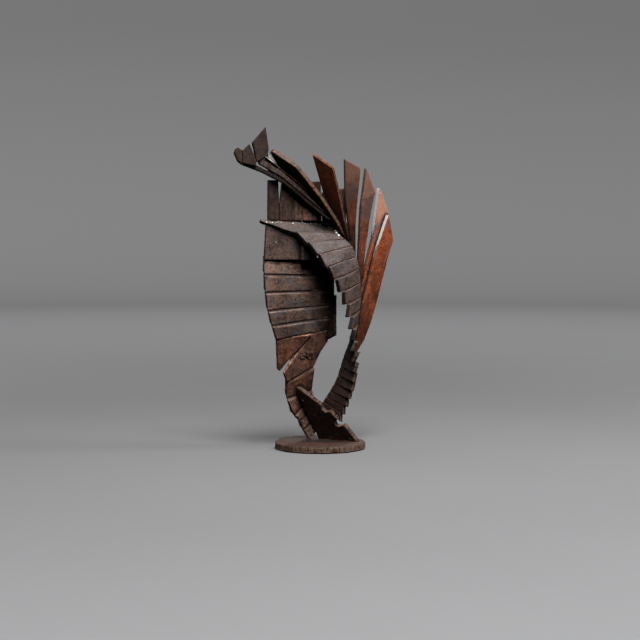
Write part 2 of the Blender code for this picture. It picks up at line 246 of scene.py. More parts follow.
def bar_axes(solid):
    """The bar's own axes and middle, as a matrix that takes its coordinates to the scene's."""
    broad = max(solid.faces, key=lambda face: face.calc_area())
    longest = max(broad.edges, key=lambda edge: edge.calc_length())
    along = (longest.verts[1].co - longest.verts[0].co).normalized()
    through = broad.normal.copy()
    axes = Matrix((along, through.cross(along), through)).transposed().to_4x4()
    middle = sum((vert.co for vert in solid.verts), Vector()) / len(solid.verts)
    return Matrix.Translation(middle) @ axes


example = whole_faces("breast_bar_02")
print(f"a breast bar has {len(example.faces)} flat faces")
example.free()

# %% [markdown]
# ## An even skin of fine points
# A bar has eight corners, and nothing between them that could be worn or pitted. Cutting its
# edges again and again would crowd the points at the corners. A voxel remesh spaces them evenly
# instead, and it also rounds the corners slightly, as rust and handling do. It is done in the
# bar's own directions, so that its straight edges stay straight.

# %% Grow the fine skin
SKIN_STEP = 1.15 * MM
CORNER_PASSES = 1


def fine_skin(name, solid, axes):
    """A new object of the bar's shape, with a point about every millimetre."""
    mesh = bpy.data.meshes.new("rusted_" + name)
    solid.to_mesh(mesh)
    mesh.transform(axes.inverted())
    bar = bpy.data.objects.new("rusted_" + name, mesh)
    scene.collection.objects.link(bar)
    grid = bar.modifiers.new("even grid", "REMESH")
    grid.mode = "VOXEL"
    grid.voxel_size = SKIN_STEP
    worn = bar.modifiers.new("worn corners", "SMOOTH")
    worn.iterations = CORNER_PASSES
    seen = bar.evaluated_get(bpy.context.evaluated_depsgraph_get())
    fine = bpy.data.meshes.new_from_object(seen)
    fine.transform(axes)
    bar.modifiers.clear()
    bar.data = fine
    return bar


def points_of(mesh, what="co"):
    values = np.zeros(len(mesh.vertices) * 3, np.float32)
    mesh.vertices.foreach_get(what, values)
    return values.reshape(-1, 3).astype(float)


# %% [markdown]
# ## Where a bar is worn, and where it meets its neighbour
# Two distances drive most of the finish. Corners are rubbed bright, so each point needs its
# distance to the nearest outward corner. Rust and weld smoke gather in the joints, so it also
# needs its distance to the next bar. Both are measured on the shapes once and stored on the
# points, where any material can read them.

# %% Measure distances to corners and neighbours
CORNER_SAMPLE = 0.7 * MM
CORNER_REACH = 2.4 * MM
SEAM_REACH = 4.0 * MM
neighbour_trees = {}
neighbour_boxes = {}
for name, solid in solids.items():
    neighbour_trees[name] = BVHTree.FromPolygons(
        [vert.co for vert in solid.data.vertices],
        [tuple(face.vertices) for face in solid.data.polygons],
    )
    low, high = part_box(name)
    neighbour_boxes[name] = (np.array(low) - SEAM_REACH, np.array(high) + SEAM_REACH)


def corner_nearness(solid, points):
    """1 on an outward corner, falling to 0 at the corner's reach."""
    spots = []
    for edge in solid.edges:
        if edge.is_convex and edge.calc_face_angle(0.0) > CORNER:
            count = max(2, int(edge.calc_length() / CORNER_SAMPLE))
            spots += [edge.verts[0].co.lerp(edge.verts[1].co, i / (count - 1)) for i in range(count)]
    tree = KDTree(len(spots))
    for index, spot in enumerate(spots):
        tree.insert(spot, index)
    tree.balance()
    reach = np.array([tree.find(point)[2] for point in points])
    return np.clip(1.0 - reach / CORNER_REACH, 0.0, 1.0)


def seam_nearness(name, points):
    """1 where another piece touches, falling to 0 at the seam's reach."""
    near = np.zeros(len(points))
    for other, tree in neighbour_trees.items():
        if other == name:
            continue
        low, high = neighbour_boxes[other]
        for index in np.flatnonzero(np.all((points > low) & (points < high), axis=1)):
            gap = tree.find_nearest(points[index], SEAM_REACH)[3]
            if gap is not None:
                near[index] = max(near[index], 1.0 - gap / SEAM_REACH)
    return near


print(f"{len(neighbour_trees)} pieces ready to be measured against each other")

# %% [markdown]
# ## How sheltered each place is
# Behind the ribbon and under the hand the steel lies in deep shade, and that shade is painted
# almost black into its colour. A lamp's shadow would give it only from one side. So the shelter
# is measured: from a few places on each bar, lines go out in all directions, and the share that
# soon meets other steel is how closed in that place is. Points between these places take the mean.

# %% Measure the shelter
SHELTER_CELL = 4.0 * MM
SHELTER_REACH = 75.0 * MM
SHELTER_LINES = 40
SHELTER_LIFT = 1.2 * MM
FACE_APART = 6.0 * MM
NEAREST = 5
GLANCING = 0.05
GOLDEN_TURN = math.pi * (3.0 - math.sqrt(5.0))
outward = []
for index in range(SHELTER_LINES):
    up = 1.0 - 2.0 * (index + 0.5) / SHELTER_LINES
    ring = math.sqrt(1.0 - up * up)
    outward.append(Vector((ring * math.cos(index * GOLDEN_TURN), ring * math.sin(index * GOLDEN_TURN), up)))
whole_verts = []
whole_corners = []
for solid in solids.values():
    start = len(whole_verts)
    whole_verts += [vert.co.copy() for vert in solid.data.vertices]
    whole_corners += [tuple(start + corner for corner in face.vertices) for face in solid.data.polygons]
whole_tree = BVHTree.FromPolygons(whole_verts, whole_corners)


# How closed in each point is; the heat tint group paints shade from it.
def shelter_of(points, normals):
    """0 in the open, 1 where steel closes in from all sides."""
    chosen = np.unique((points / SHELTER_CELL).astype(int), axis=0, return_index=True)[1]
    tree = KDTree(len(chosen))
    closed = np.zeros(len(chosen))
    for place, index in enumerate(chosen):
        normal = Vector(normals[index]).normalized()
        start = Vector(points[index]) + normal * SHELTER_LIFT
        total = 0.0
        blocked = 0.0
        for line in outward:
            weight = line.dot(normal)
            if weight > GLANCING:
                total += weight
                if whole_tree.ray_cast(start, line, SHELTER_REACH)[0] is not None:
                    blocked += weight
        closed[place] = blocked / total
        tree.insert(Vector(points[index]) + normal * FACE_APART, place)
    tree.balance()
    values = np.zeros(len(points))
    for index, spot in enumerate(points + normals * FACE_APART):
        found = tree.find_n(spot, NEAREST)
        values[index] = sum(closed[place] for _, place, _ in found) / len(found)
    return values


print(f"{SHELTER_LINES} lines of sight from every {SHELTER_CELL / MM:.0f} mm")

# %% [markdown]
# ## Dents, pits and torch marks
# Old bar stock is slightly bent, eaten into pits a few millimetres wide, and nicked at its
# corners. Its cut faces carry drag lines, which run straight through the thickness, where the
# torch jumped forward a little at a time. All of it could be faked with bump, but then the
# outline would stay perfect. So the larger marks move the points, and only the fine grain is
# left to the material.

# %% Wear a bar's skin
# How strong a part's bend, pits, grain, nicks and torch marks are, in millimetres.
WEAR = {
    "base": (0.10, 0.40, 0.16, 1.8, 0.95),
    "foot": (0.25, 0.35, 0.12, 0.9, 0.50),
    "breast": (0.35, 0.35, 0.10, 0.7, 0.16),
    "leg": (0.30, 0.35, 0.10, 0.8, 0.20),
    "panel": (0.35, 0.25, 0.08, 0.6, 0.14),
    "ribbon": (0.25, 0.35, 0.10, 0.7, 0.20),
    "steps": (0.25, 0.35, 0.10, 0.7, 0.20),
    "fan": (0.45, 0.15, 0.05, 0.4, 0.10),
    "hand": (0.20, 0.25, 0.10, 0.6, 0.20),
    "tips": (0.20, 0.25, 0.10, 0.8, 0.30),
}
BEND_SIZE = 60.0
PIT_SIZE = 3.4
PIT_FROM = 0.15
GRAIN_SIZE = 2.0
NICK_SIZE = 5.0
DRAG_SPACING = 2.2
DRAG_SQUEEZE = 0.08


def worn_points(own, normals, edge, cut, wear, shift):
    """How far each point moves, in millimetres: in the bar's own axes, outward along its normal."""
    bend, pit, grain, nick, torch = wear
    moves = np.zeros_like(own)
    for index, point in enumerate(own):
        place = Vector(point) + shift
        warp = bend * noise.noise(Vector((place.x, place.y, shift.z)) / BEND_SIZE)
        hole = pit * max(0.0, noise.noise(place / PIT_SIZE) - PIT_FROM)
        sand = grain * noise.noise(place / GRAIN_SIZE)
        chip = nick * edge[index] * max(0.0, noise.noise(place / NICK_SIZE))
        squeezed = Vector((place.x, place.y, place.z * DRAG_SQUEEZE))
        drag = torch * cut[index] * noise.noise(squeezed / DRAG_SPACING)
        moves[index] = normals[index] * (sand - hole - chip + drag)
        moves[index][2] += warp
    return moves


# %% [markdown]
# ## Build every bar
# The steps above are now run on all the bars. Several measurements stay on the points for the
# materials: the place in the bar's own millimetres, shifted so that no two bars share a pattern,
# the nearness of a corner or a joint, the shelter, and the way up from the bar's root. They also
# hold the bar's tone, which on some bars paints light and shade, and whether the face was rolled,
# cut along the bar, cut to length or ground bright, where a glint is painted too. Each new bar
# rides where the plain solid is, and stands in for it.

# %% Run the steps on all bars
SHIFT_SPAN = 500.0
UNDERSIDE_CLEAR = 0.02 * MM


def keep_on_points(mesh, label, values):
    """Stores one number or one vector on each point, under a name that a material can read."""
    kind, field = ("FLOAT_VECTOR", "vector") if values.ndim == 2 else ("FLOAT", "value")
    layer = mesh.attributes.new(label, kind, "POINT")
    layer.data.foreach_set(field, values.astype(np.float32).ravel())


# Tones set one bar at a time. Most are the bars' own, but several paint light and shade: the side plates and
# the tab plate are darkened as painted shade behind the ribbon, and panel bars 3, 4, 5 and 7 and the spur
# plate, which stand in shade, are brightened as painted light.
BAR_TONES_AND_PAINTED_LIGHT = {
    "fan_blade_1": 0.25, "fan_blade_2": 0.48, "fan_blade_3": 0.46, "fan_blade_4": 0.74,
    "fan_blade_5": 1.70, "fan_blade_6": 1.50, "side_plate_upper": 0.25, "side_plate_lower": 0.12,
    "spur_plate": 3.00, "panel_bar_1": 0.60, "panel_bar_2": 0.80, "panel_bar_3": 2.20,
    "panel_bar_4": 3.00, "panel_bar_5": 3.60, "panel_bar_7": 4.00, "chest_plate": 0.46,
    "shelf_plate": 0.60, "tab_plate": 0.25, "hand_bar_lower": 0.50, "hand_bar_upper": 1.70,
    "hand_tip_left": 0.85, "hand_tip_middle": 0.75, "hand_tip_right": 0.68, "leg_bar_03": 2.10,
    "leg_bar_04": 0.62, "breast_bar_01": 1.20, "ribbon_bar_01": 0.78, "ribbon_bar_02": 0.62,
    "ribbon_bar_08": 1.25, "ribbon_bar_10": 0.50, "ribbon_bar_15": 0.78, "ribbon_bar_16": 0.74,
    "ribbon_bar_17": 0.72, "ribbon_bar_18": 0.72,
}
# The lower steps' ends take the pale cut colour instead of the dark end colour: painted light on their lit
# tips.
PAINTED_LIGHT_ENDS = {f"ribbon_bar_{number}" for number in range(10, 19)}
GROUND_AND_GLINT_FROM = {"fan_blade_5": 330.0, "fan_blade_6": 300.0, "hand_blade": 425.0}
GROUND_AND_GLINT_FADE = 60.0
GROUND_AND_GLINT_FACE = 0.42
TINT_REACH = {"fan_blade_1": 0.80, "fan_blade_2": 0.50, "fan_blade_6": 0.60}
TONE_SPREAD = 0.12
HIDDEN_FROM = 0.3
HIDDEN_TONE = 1.3
chance = random.Random(7)
bars = {}
skins = {}


def ground_and_glint_part(name, facing, cut, height):
    """Where the grinder went, and where a glint is painted: up the left edge of two blades, and over the
    faces of a third.
    """
    if name not in GROUND_AND_GLINT_FROM:
        return np.zeros(len(cut))
    if name == "hand_blade":
        ground_and_glint = GROUND_AND_GLINT_FACE * (1.0 - cut)
    else:
        # Only the cut faces that turn to the left get the painted glint.
        ground_and_glint = np.clip(-2.0 * facing[:, 0] - 0.5, 0.0, 1.0) * cut
    return ground_and_glint * np.clip((height - GROUND_AND_GLINT_FROM[name]) / GROUND_AND_GLINT_FADE, 0.0, 1.0)


for name in sorted(solids):
    shift = Vector([chance.uniform(-SHIFT_SPAN, SHIFT_SPAN) for _ in range(3)])
    solid = whole_faces(name)
    axes = bar_axes(solid)
    bar = fine_skin(name, solid, axes)
    points = points_of(bar.data)
    turn = np.array(axes.to_3x3())
    own = (points - np.array(axes.translation)) @ turn / MM
    normals = points_of(bar.data, "normal") @ turn
    facing = normals @ turn.T
    edge = corner_nearness(solid, points)
    seam = seam_nearness(name, points)
    cut = np.clip(1.4 - 2.0 * np.abs(normals[:, 2]), 0.0, 1.0)
    # The ends cut to length, which the material paints nearly black: partly burnt oxide, partly painted
    # shade.
    end = cut * np.clip(2.0 * np.abs(normals[:, 0]) - 0.9, 0.0, 1.0)
    height = points[:, 2] / MM
    from_root = (height - height.min()) / np.ptp(height)
    ground_and_glint = ground_and_glint_part(name, facing, cut, height)
    points += worn_points(own, normals, edge, cut, WEAR[part_of[name]], shift) @ turn.T * MM
    points[:, 2] = np.maximum(points[:, 2], UNDERSIDE_CLEAR)
    bar.data.vertices.foreach_set("co", points.astype(np.float32).ravel())
    # On the lower steps the ends get the pale cut colour as painted light.
    if name in PAINTED_LIGHT_ENDS:
        cut, end = end, np.zeros(len(own))
    # Front faces take the tone with its painted light; faces turned away are capped at HIDDEN_TONE, so the
    # painted light stays on the front.
    tone = BAR_TONES_AND_PAINTED_LIGHT.get(name, 1.0 + chance.uniform(-TONE_SPREAD, TONE_SPREAD))
    measured = {
        "bar_mm": own + np.array(shift), "corner": edge, "joint": seam,
        "shelter": shelter_of(points, facing), "cut_face": cut,
        "bar_tone_and_painted_light": np.where(facing[:, 1] > HIDDEN_FROM, min(tone, HIDDEN_TONE), tone),
        "bar_end": end, "ground_and_glint": ground_and_glint, "from_root": from_root * TINT_REACH.get(name, 1.0),
    }
    for label, values in measured.items():
        keep_on_points(bar.data, label, values)
    bar.data.shade_smooth()
    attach(bar, "root")
    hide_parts(name)
    bars[name] = bar
    skins[name] = {"points": points, "through": turn[:, 2]}
    solid.free()
print(f"{len(bars)} bars, {sum(len(bar.data.vertices) for bar in bars.values())} points")

# %% [markdown]
# ## Find the seams
# Every two bars that touch are welded somewhere, mostly from behind, where it doesn't show. The
# lines could be typed in one by one, but the skins already know them: a seam is where the points
# of one bar's outer face come within a touch of the next bar. Sorted along their longest
# direction and averaged every few millimetres, these points become a line to weld along.

# %% Turn touching points into weld lines
SEAM_TOUCH = 1.8 * MM
FACE_BAND = 2.2 * MM
LINE_STEP = 3.0 * MM
LEAST_LINE = 8.0 * MM
WIDEST_SEAM = 7.0 * MM
OUTERMOST = 97
LEAST_POINTS = 6


def seam_line(first, second, side):
    """The seam of two pieces as a row of points, on the front (-1) or the back (1) of the first."""
    points = skins[first]["points"]
    through = skins[first]["through"]
    facing = through * (side if through[1] > 0 else -side)
    low, high = neighbour_boxes[second]
    face = np.percentile(points @ facing, OUTERMOST)
    outer = np.all((points > low) & (points < high), axis=1) & (points @ facing > face - FACE_BAND)
    tree = neighbour_trees[second]
    near = [i for i in np.flatnonzero(outer) if tree.find_nearest(points[i], SEAM_TOUCH)[3] is not None]
    if len(near) < LEAST_POINTS:
        return []
    touching = points[near]
    middle = touching.mean(axis=0)
    directions = np.linalg.svd(touching - middle, full_matrices=False)[2]
    along = (touching - middle) @ directions[0]
    if np.ptp(along) < LEAST_LINE or np.ptp((touching - middle) @ directions[1]) > WIDEST_SEAM:
        return []
    if directions[0][0] < 0:
        along = -along
    bins = np.floor((along - along.min()) / LINE_STEP).astype(int)
    return [Vector(touching[bins == number].mean(axis=0)) for number in np.unique(bins)]


def boxes_touch(first, second):
    low_a, high_a = neighbour_boxes[first]
    low_b, high_b = neighbour_boxes[second]
    return bool(np.all(low_a < high_b) and np.all(low_b < high_a))


names = sorted(solids)
back_lines = {}
for number, first in enumerate(names):
    for second in names[number + 1:]:
        if boxes_touch(first, second):
            line = seam_line(first, second, 1)
            if len(line) > 2:
                back_lines[first, second] = line
print(f"{len(back_lines)} seams found on the back")

# %% [markdown]
# ## Lay a bead
# A weld bead is a row of small overlapping puddles, each frozen as a crescent. A smooth tube
# would look like a cord. So the line is walked in steps shorter than a puddle, and the radius
# swells and shrinks once a puddle, with some unevenness of hand on top. The hand's drift comes
# from vector noise, which Blender seeds by the clock, so it gets a seed of its own. A curve with
# a round bevel does the rest, and its ends are closed.

# %% Make beads from lines
WALK_STEP = 0.7 * MM
DRIFT_SIZE = 6.0 * MM
PUDDLE = 2.4 * MM
RIPPLE = 0.16
UNEVEN = 0.30
UNEVEN_SIZE = 4.0 * MM
END_RADIUS = 0.45
END_RISE = 0.2
DRIFT_SEED = 6
noise.seed_set(DRIFT_SEED)
welds = []


def walked(line, wander, shift):
    """The line as closely spaced points, drifting a little to the side as a hand does."""
    points = []
    for start, end in zip(line, line[1:]):
        steps = max(1, round((end - start).length / WALK_STEP))
        points += [start.lerp(end, step / steps) for step in range(steps)]
    points.append(line[-1])
    own_drift = Vector((shift, 0.0, 0.0))
    return [point + noise.noise_vector(point / DRIFT_SIZE + own_drift) * wander for point in points]


def weld_piece(name, mesh, ground_and_glint=0.0):
    """A new piece with what the steel materials read from its points."""
    piece = bpy.data.objects.new(name, mesh)
    scene.collection.objects.link(piece)
    count = len(mesh.vertices)
    keep_on_points(mesh, "bar_mm", points_of(mesh) / MM)
    keep_on_points(mesh, "bar_tone_and_painted_light", np.ones(count))
    keep_on_points(mesh, "ground_and_glint", np.full(count, ground_and_glint))
    mesh.shade_smooth()
    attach(piece, "root")
    welds.append(piece)


def lay_beads(name, lines, radius, wander):
    """One object with a rippled bead along each line."""
    curve = bpy.data.curves.new(name, "CURVE")
    curve.dimensions = "3D"
    curve.bevel_depth = radius
    curve.bevel_resolution = 2
    curve.use_fill_caps = True
    for number, line in enumerate(lines):
        points = walked(line, wander, 10.0 * number)
        spline = curve.splines.new("POLY")
        spline.points.add(len(points) - 1)
        for index, (spot, point) in enumerate(zip(spline.points, points)):
            spot.co = (*point, 1.0)
            ripple = RIPPLE * math.sin(2 * math.pi * index * WALK_STEP / PUDDLE)
            uneven = UNEVEN * noise.noise(point / UNEVEN_SIZE)
            from_end = min(index, len(points) - 1 - index)
            spot.radius = (1.0 + ripple + uneven) * min(1.0, END_RADIUS + END_RISE * from_end)
    guide = bpy.data.objects.new(name, curve)
    scene.collection.objects.link(guide)
    bpy.context.view_layer.update()
    mesh = bpy.data.meshes.new_from_object(guide.evaluated_get(bpy.context.evaluated_depsgraph_get()))
    bpy.data.objects.remove(guide)
    weld_piece(name, mesh)


lay_beads("back_welds", list(back_lines.values()), radius=1.9 * MM, wander=0.5 * MM)
print(f"back welds: {len(welds[0].data.polygons)} faces")

# %% [markdown]
# ## Beads that show in front
# In front only some seams were closed, and mostly not along their whole length: the breast's at
# the right, some of the ribbon's, two of the panel's, and a few at the knee, the leg and the
# foot. Each is given as two neighbours and the part of the seam to close. A seam closed by a low
# bead loses its dark line, so the ribbon's seams come and go as they should.

# %% Lay the front beads
FRONT_SEAMS = {
    ("breast_bar_01", "breast_bar_02"): (0.62, 1.0), ("breast_bar_02", "breast_bar_03"): (0.75, 1.0),
    ("breast_bar_03", "breast_bar_04"): (0.72, 1.0), ("breast_bar_04", "breast_bar_05"): (0.80, 1.0),
    ("panel_bar_2", "panel_bar_3"): (0.0, 1.0), ("panel_bar_3", "panel_bar_4"): (0.0, 0.4),
    ("ribbon_bar_01", "shelf_plate"): (0.45, 1.0), ("ribbon_bar_01", "ribbon_bar_02"): (0.0, 0.25),
    ("ribbon_bar_02", "ribbon_bar_03"): (0.50, 1.0), ("ribbon_bar_03", "ribbon_bar_04"): (0.0, 0.45),
    ("ribbon_bar_04", "ribbon_bar_05"): (0.60, 1.0), ("ribbon_bar_05", "ribbon_bar_06"): (0.70, 1.0),
    ("ribbon_bar_06", "ribbon_bar_07"): (0.0, 0.40), ("leg_bar_01", "leg_bar_02"): (0.60, 1.0),
    ("knee_plate", "leg_bar_01"): (0.55, 1.0), ("base_disc", "foot_plate"): (0.0, 1.0),
}
front_lines = []
for (first, second), (start, end) in FRONT_SEAMS.items():
    line = seam_line(second, first, -1) or seam_line(first, second, -1)
    front_lines.append(line[int(start * len(line)):max(int(end * len(line)), 2)])
lay_beads("front_welds", front_lines, radius=0.95 * MM, wander=0.35 * MM)
print(f"{len(front_lines)} seams closed in front")

# %% [markdown]
# ## Stitches, glints and the knee's rough weld
# A row of small tacks holds the shelf to the panel, a few loose ones sit on leg and breast, and
# some puddles carry a painted glint, a near-white colour that paints their highlight, which the
# tacks get in part too. The knee was built up with a coarse weave of weld metal. They are
# laid out as seen from the front, in millimetres across and up, and a ray from the camera's place
# finds the steel under each.

# %% Place the tacks and the weave
SIGHT_LENGTH = 5.0
DROP_WIDTH = 0.9
DROP_THICKNESS = 0.65
SUNK = 0.35


def on_steel(x, z):
    """Where the line of sight through (x, z), in millimetres on the drawing plane, meets steel."""
    toward = Vector((x * MM, 0.0, z * MM)) - EYE
    return whole_tree.ray_cast(EYE, toward.normalized(), SIGHT_LENGTH)[:2]


def puddles(name, spots, ground_and_glint=0.0):
    """Small flattened drops, one for each (place, normal, radius)."""
    drops = bmesh.new()
    for place, normal, radius in spots:
        lie = normal.to_track_quat("Z", "Y").to_matrix().to_4x4()
        squash = Matrix.Diagonal((radius, radius * DROP_WIDTH, radius * DROP_THICKNESS, 1.0))
        shape = Matrix.Translation(place - normal * radius * DROP_THICKNESS * SUNK) @ lie @ squash
        bmesh.ops.create_icosphere(drops, subdivisions=2, radius=1.0, matrix=shape)
    mesh = bpy.data.meshes.new(name)
    drops.to_mesh(mesh)
    drops.free()
    weld_piece(name, mesh, ground_and_glint)


TACK_START = (-88.0, 375.4)
TACK_END = (14.0, 372.0)
TACK_SPACING = 4.8
TACK_RADIUS = 1.7 * MM
LOOSE_TACKS = (
    (17.5, 18.0), (20.0, 17.0), (49.0, 15.5), (52.0, 14.5),
    (-24.0, 62.0), (-21.5, 52.0), (-19.0, 46.0), (-29.0, 79.0),
)
GLINTS = ((25.5, 361.5, 2.6), (28.0, 358.0, 3.2), (31.0, 354.0, 2.8), (-1.5, 313.5, 2.2), (-73.0, 342.5, 0.8))
WEAVE_ROWS = ((150.5, -37.0, -7.0), (154.0, -35.0, -16.0), (158.0, -24.0, -9.0), (165.0, -20.0, -13.0))
WEAVE_STEP = 1.6
ZIGZAG = 2.4
steady = random.Random(11)


def tack_row():
    """Evenly spaced places between the row's ends, each a little off as a hand sets them."""
    (x, z), (last_x, last_z) = TACK_START, TACK_END
    count = int((last_x - x) / TACK_SPACING)
    for number in range(count + 1):
        part = number / count
        across = x + (last_x - x) * part + steady.uniform(-0.8, 0.8)
        yield across, z + (last_z - z) * part + steady.uniform(-0.6, 0.6)


def tacks_on(spots, least, most):
    """A tack for each spot that has steel behind it, between the least and the most size."""
    tacks = []
    for x, z in spots:
        place, normal = on_steel(x, z)
        if place is not None:
            tacks.append((place, normal, TACK_RADIUS * steady.uniform(least, most)))
    return tacks


tacks = tacks_on(tack_row(), least=0.75, most=1.2)
# The tacks get part of the near-white painted glint colour.
puddles("tack_welds", tacks, ground_and_glint=0.40)
puddles("loose_tacks", tacks_on(LOOSE_TACKS, least=0.6, most=1.1), ground_and_glint=0.15)
puddles("painted_glint_welds", [(*on_steel(x, z), radius * MM) for x, z, radius in GLINTS], ground_and_glint=1.0)
weave_lines = []
for z, left, right in WEAVE_ROWS:
    line = []
    for number in range(int((right - left) / WEAVE_STEP)):
        rise = ZIGZAG * (1 if number % 2 else -1) * steady.uniform(0.5, 1.0)
        line.append(on_steel(left + WEAVE_STEP * number, z + rise)[0])
    weave_lines.append([place for place in line if place is not None])
lay_beads("knee_weave", weave_lines, radius=0.7 * MM, wander=2.2 * MM)
print(f"{len(tacks)} tacks, {len(GLINTS)} glints, {len(weave_lines)} rows of weave")

# %% [markdown]
# ## Spatter and slag
# Welding throws small drops, which stick near the seams, and a torch leaves a ragged lip of slag
# where it leaves the plate. Drops scattered evenly would look like gravel. So each is thrown from
# a point of a bead, most of them not far. The slag runs round the base's lower rim, and at the
# back left along the upper one too.

# %% Scatter the drops and run the slag
DROPS = 420
THROW = 9.0 * MM
throws = random.Random(5)
sources = [point for line in list(back_lines.values()) + front_lines for point in line]
drops = []
for _ in range(DROPS):
    source = throws.choice(sources)
    toward = Vector([throws.gauss(0.0, 1.0) for _ in range(3)]).normalized()
    place, normal, _, _ = whole_tree.find_nearest(source + toward * throws.expovariate(1 / THROW))
    drops.append((place, normal, throws.uniform(0.35, 0.9) * MM))
puddles("spatter", drops)

RIM_INSET = 0.6 * MM
base_low, base_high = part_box("base_disc")
rim_radius = (base_high[0] - base_low[0]) / 2 - RIM_INSET


def rim_line(first_turn, last_turn, height, inset=0.0):
    """Points round the base's rim, from one angle to another, in degrees from the right."""
    turns = [math.radians(turn) for turn in range(first_turn, last_turn + 1)]
    reach = rim_radius - inset
    return [Vector((reach * math.cos(turn), reach * math.sin(turn), height)) for turn in turns]


LOW_LIP = [(185, 214), (220, 262), (266, 283), (290, 330), (334, 352), (0, 40), (48, 90), (96, 178)]
HIGH_LIP = [(84, 98), (101, 112), (114, 131), (134, 150), (153, 160)]
low_lines = [rim_line(*turns, height=2.1 * MM) for turns in LOW_LIP]
high_lines = [rim_line(*turns, height=base_high[2], inset=1.0 * MM) for turns in HIGH_LIP]
lay_beads("low_slag", low_lines, radius=1.0 * MM, wander=0.5 * MM)
lay_beads("high_slag", high_lines, radius=1.5 * MM, wander=0.9 * MM)
print(f"{len(drops)} drops of spatter, {len(LOW_LIP) + len(HIGH_LIP)} runs of slag")

# %% [markdown]
# ## A small kit for materials
# A material is a graph of nodes, and most of its lines would only place and link them. So the
# output of a node is wrapped as a field that can be added and multiplied like a number, and each
# sum becomes a Math node.

# %% Make fields that can be reckoned with
COLOUR = "NodeSocketColor"
NUMBER = "NodeSocketFloat"
VECTOR = "NodeSocketVector"


def steel_colour(red, green, blue):
    """A colour given as it looks on a screen, 0 to 255, made linear for the shader."""
    def linear(value):
        value /= 255
        return value / 12.92 if value <= 0.04045 else ((value + 0.055) / 1.055) ** 2.4
    return (linear(red), linear(green), linear(blue), 1.0)


class Field:
    """An output of a node, which can be reckoned with."""

    def __init__(self, socket):
        self.socket = socket
        self.tree = socket.id_data

    def __add__(self, other):
        return reckoned(self.tree, "ADD", self, other)

    def __sub__(self, other):
        return reckoned(self.tree, "SUBTRACT", self, other)

    def __mul__(self, other):
        return reckoned(self.tree, "MULTIPLY", self, other)

    def __rtruediv__(self, other):
        return reckoned(self.tree, "DIVIDE", other, self)


def feed(node, feeds):
    """Feeds a node's inputs with values or with fields."""
    for socket, value in feeds.items():
        if isinstance(value, Field):
            value.tree.links.new(value.socket, node.inputs[socket])
        else:
            node.inputs[socket].default_value = value


def fields(node):
    return {socket.name: Field(socket) for socket in node.outputs}


def add_node(tree, kind, feeds, **options):
    node = tree.nodes.new(kind)
    for option, value in options.items():
        setattr(node, option, value)
    feed(node, feeds)
    return node


def add(tree, kind, feeds, output=0, **options):
    """Adds a node and returns one of its outputs as a field."""
    return Field(add_node(tree, kind, feeds, **options).outputs[output])


def reckoned(tree, how, first, second):
    return add(tree, "ShaderNodeMath", {0: first, 1: second}, operation=how)


print("a dark rust is", [round(value, 3) for value in steel_colour(52, 34, 28)[:3]], "when linear")

# %% [markdown]
# ## Mixes, masks and groups
# Every effect needs the same few things: a mix of two colours, a mask from 0 to 1, and cloudy
# noise of a size in millimetres. The nodes of an effect could be copied into each material. As a
# group with named inputs they are built once, and each material gives them its own values.

# %% Mix, mask and group
def mix(amount, first, second):
    return add(amount.tree, "ShaderNodeMix", {0: amount, 6: first, 7: second}, 2, data_type="RGBA")


def mask(value, low, high):
    """0 up to the low value, 1 from the high one, and a smooth rise between them."""
    feeds = {"Value": value, "From Min": low, "From Max": high}
    return add(value.tree, "ShaderNodeMapRange", feeds, interpolation_type="SMOOTHSTEP")


def speckle(vector, size, detail=3.0, rough=0.55):
    """Cloudy noise whose largest blobs are about that many millimetres wide."""
    feeds = {"Vector": vector, "Scale": 1.0 / size, "Detail": detail, "Roughness": rough}
    return add(vector.tree, "ShaderNodeTexNoise", feeds)


def stretched(vector, x, y, z):
    return add(vector.tree, "ShaderNodeVectorMath", {0: vector, 1: (x, y, z)}, operation="MULTIPLY")


def node_group(name, inputs, outputs):
    """A shader group: its tree, its inputs as fields, and the node that takes its outputs.

    An input is given as a kind of socket, a colour or a number. An output is a number, but for
    the colour.
    """
    tree = bpy.data.node_groups.new(name, "ShaderNodeTree")
    for label, value in inputs.items():
        kind = {str: value, tuple: COLOUR, float: NUMBER}[type(value)]
        socket = tree.interface.new_socket(label, in_out="INPUT", socket_type=kind)
        if kind != value:
            socket.default_value = steel_colour(*value) if kind == COLOUR else value
    for label in outputs:
        kind = COLOUR if label == "Colour" else NUMBER
        tree.interface.new_socket(label, in_out="OUTPUT", socket_type=kind)
    return tree, fields(tree.nodes.new("NodeGroupInput")), tree.nodes.new("NodeGroupOutput")


print("sockets of", COLOUR, NUMBER, VECTOR)

# %% [markdown]
# ## Effect 1: the patina
# Rust on bar stock is not one brown. Wide clouds run from deep to mid brown, smaller blooms are
# warmer, and where the blue-grey mill scale has held on it shows as dull patches. Over all of it
# lies a fine dark mottle of pits and stains, and that is what makes it read as steel and not as
# wood. Each of these is a noise of its own size. They are stacked in one group, because every
# bar has all of them and only the colours and amounts differ.

# %% Build the patina group
patina, given, result = node_group("patina", {
    "Bar place": VECTOR, "Deep rust": (52, 34, 28), "Rust": (96, 64, 50), "Bloom": (128, 78, 54),
    "Mill scale": (84, 84, 90), "Stain": (22, 16, 14), "Cloud size": 26.0, "Bloom amount": 0.6,
    "Scale amount": 0.5, "Stain amount": 0.6, "Streaks": 0.2,
}, ("Colour", "Scale mask", "Mottle"))
place = given["Bar place"]
clouds = speckle(place, given["Cloud size"], 6.0, 0.68)
mottle = speckle(place, 5.0, 6.0, 0.72)
colour = mix(mask(clouds * 0.5 + mottle * 0.5, 0.40, 0.58), given["Deep rust"], given["Rust"])
blooms = mask(speckle(place, 8.0, 6.0, 0.72), 0.50, 0.64)
colour = mix(blooms * given["Bloom amount"], colour, given["Bloom"])
scale_clouds = speckle(stretched(place, 0.7, 1.0, 1.0), 24.0, 6.0, 0.60)
